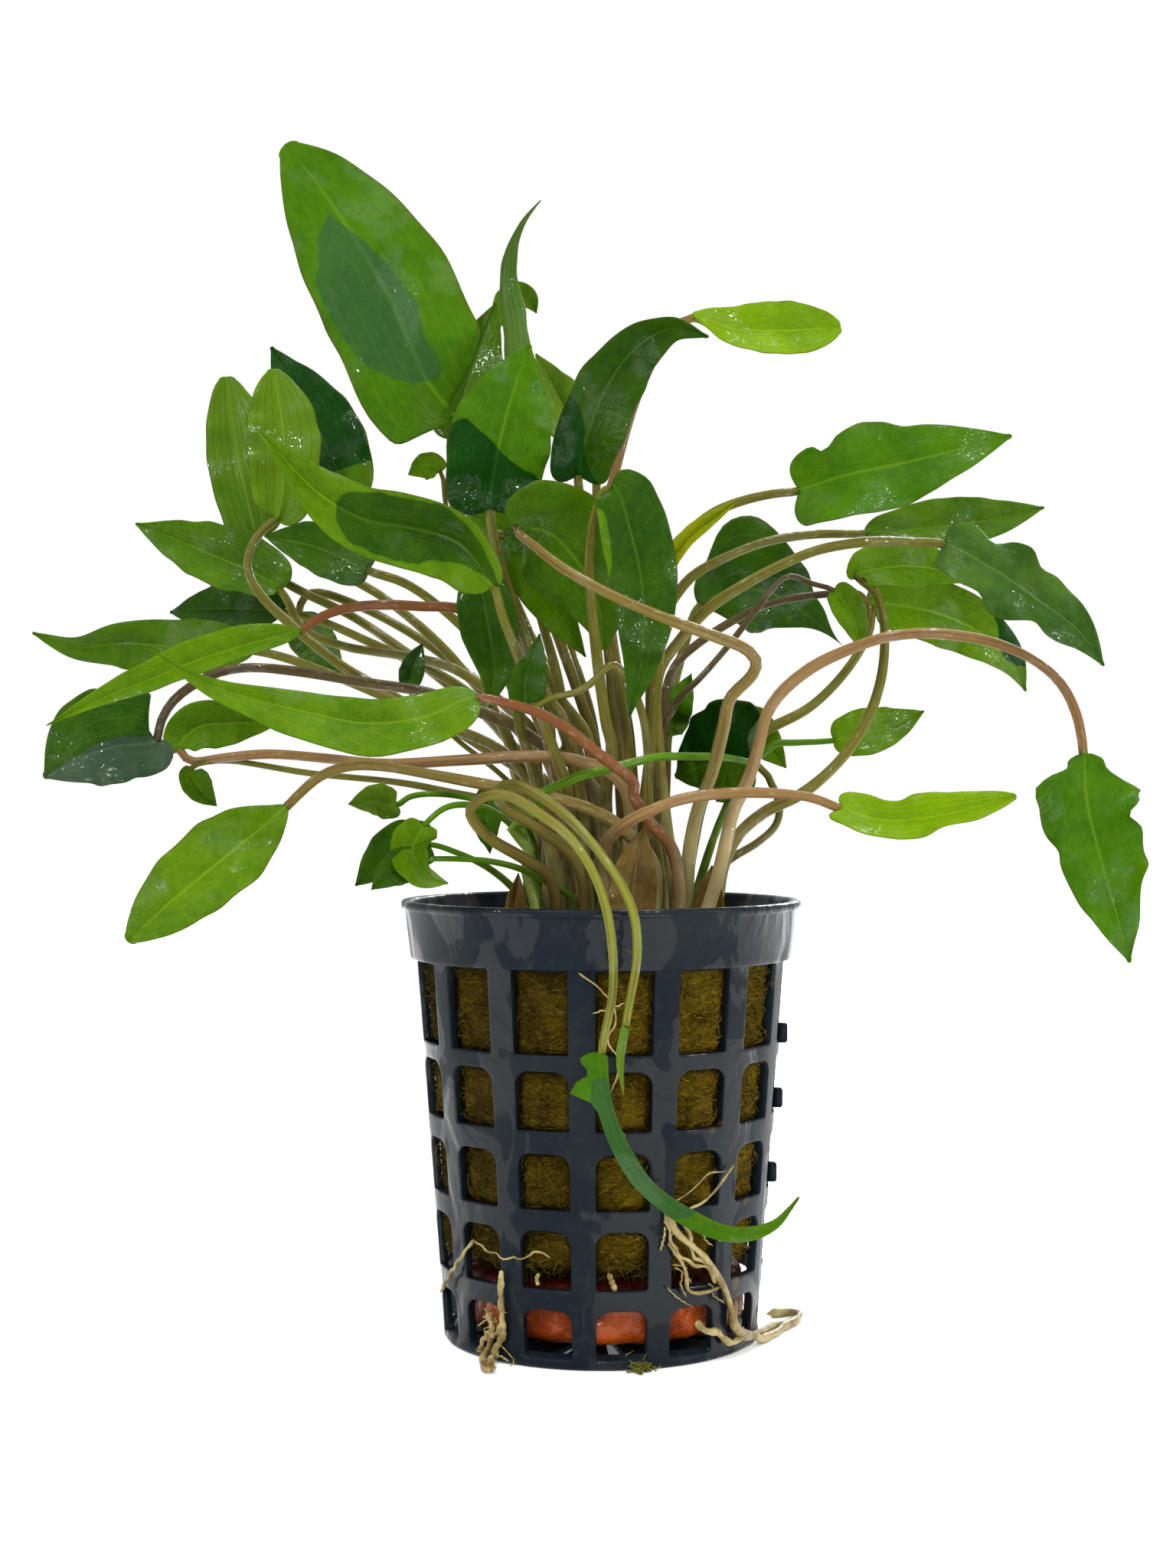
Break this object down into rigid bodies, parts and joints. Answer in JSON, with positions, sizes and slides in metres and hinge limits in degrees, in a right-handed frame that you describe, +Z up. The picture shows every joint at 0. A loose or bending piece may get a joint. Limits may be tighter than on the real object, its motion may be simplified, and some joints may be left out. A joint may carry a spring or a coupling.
{
  "type": "potted cryptocoryne aquarium plant",
  "caption": "Leafy water plant with long arching stalks, in a round net pot with a fibre plug and a clay ring.",
  "frame": {"origin": "on the pot's axis, at the flat underside of the pot that it stands on", "axes": "+Z up along the pot's axis, -Y towards the viewer of the reference view, +X to the viewer's right"},
  "size_m": [0.1448, 0.0763, 0.1519],
  "materials": {
    "pot_plastic": "moulded, wet, faint scuffs",
    "wool": "fuzzy mineral wool, damp",
    "clay": "fired clay, wet",
    "crown": "rhizome",
    "papery": "papery scale, translucent",
    "root": "fleshy root",
    "leaf_bright": "waxy leaf, wet, veined",
    "leaf_mid": "waxy leaf, wet, veined",
    "leaf_dark": "waxy leaf, wet, veined",
    "leaf_pale": "pale leaf underside, veined",
    "leaf_young": "young rolled leaf"
  },
  "bodies": {
    "root": {"pot": "pot_plastic", "rockwool": "wool", "clay_weight": "clay", "crown": "crown", "sheath_front": "papery", "sheath_left": "papery", "sheath_right": "papery", "root_right": "root", "root_left": "root", "root_left_thin": "root", "leaf_top_sail": "leaf_bright", "leaf_top_curl": "leaf_pale", "leaf_top_droop": "leaf_bright", "leaf_top_behind_sail": "leaf_mid", "leaf_top_bib": "leaf_mid", "leaf_top_back": "leaf_pale", "leaf_top_arching": "leaf_dark", "leaf_top_right_tongue": "leaf_bright", "leaf_top_small": "leaf_bright", "leaf_middle_drop": "leaf_mid", "leaf_middle_front": "leaf_bright", "leaf_middle_under": "leaf_mid", "leaf_middle_tongue": "leaf_dark", "leaf_middle_knob": "leaf_dark", "leaf_middle_left": "leaf_mid", "leaf_middle_small": "leaf_mid", "leaf_left_back_tall": "leaf_mid", "leaf_left_pale": "leaf_pale", "leaf_left_dark_back": "leaf_dark", "leaf_left_flag": "leaf_mid", "leaf_left_flag_low": "leaf_dark", "leaf_left_far": "leaf_mid", "leaf_left_long": "leaf_bright", "leaf_left_tilted": "leaf_dark", "leaf_left_hanging_back": "leaf_mid", "leaf_left_shadow": "leaf_dark", "leaf_left_broad": "leaf_mid", "leaf_left_folded": "leaf_mid", "leaf_left_low_front": "leaf_bright", "leaf_left_front": "leaf_bright", "leaf_left_dot": "leaf_dark", "leaf_right_wing": "leaf_bright", "leaf_right_young": "leaf_young", "leaf_right_back_slab": "leaf_dark", "leaf_right_behind_wing": "leaf_mid", "leaf_right_bluish": "leaf_dark", "leaf_right_looped": "leaf_bright", "leaf_right_crossing": "leaf_mid", "leaf_right_small_lobe": "leaf_bright", "leaf_right_hanging": "leaf_bright", "leaf_right_low_tongue": "leaf_bright", "leaf_right_oval": "leaf_mid", "leaf_right_turned": "leaf_dark", "leaf_right_behind_turned": "leaf_bright", "leaf_low_point": "leaf_pale", "leaf_low_bright": "leaf_bright", "leaf_low_dark": "leaf_dark", "leaf_low_small": "leaf_mid", "leaf_over_rim_outer": "leaf_bright", "leaf_over_rim_inner": "leaf_pale"}
  },
  "joints": []
}
